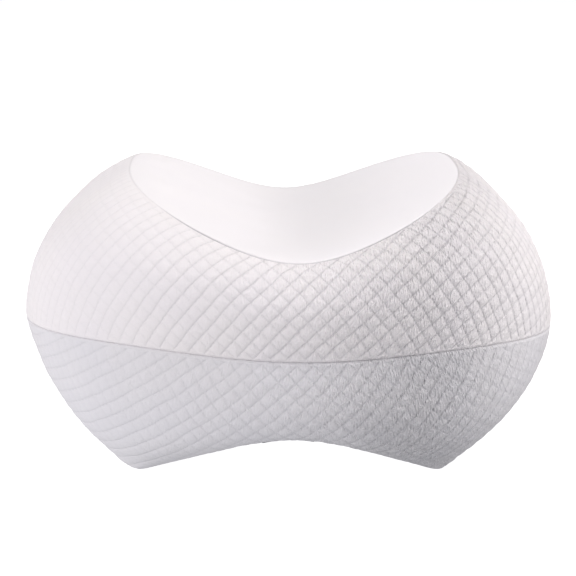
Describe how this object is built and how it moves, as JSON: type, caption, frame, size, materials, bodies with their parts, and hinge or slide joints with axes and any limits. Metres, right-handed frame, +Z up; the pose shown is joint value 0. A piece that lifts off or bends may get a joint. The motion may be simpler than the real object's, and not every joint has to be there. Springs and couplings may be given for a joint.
{
  "type": "knee pillow",
  "caption": "Filled pillow with a leg saddle on top and below, quilted knit side bands and smooth knit saddle panels.",
  "frame": {"origin": "on the surface the pillow stands on, under the middle of its box", "axes": "+X to the right along the width, across the saddles; -Y towards the front; +Z up"},
  "size_m": [0.2504, 0.2066, 0.1379],
  "materials": {
    "quilted_knit_upper": "white knit, quilted in small diamonds, matt",
    "quilted_knit_lower": "white knit, quilted in small diamonds, matt, a little greyer",
    "smooth_knit": "white fine plain knit, matt"
  },
  "bodies": {
    "root": {"upper_side_band": "quilted_knit_upper", "lower_side_band": "quilted_knit_lower", "top_saddle_panel": "smooth_knit", "bottom_saddle_panel": "smooth_knit"}
  },
  "joints": []
}
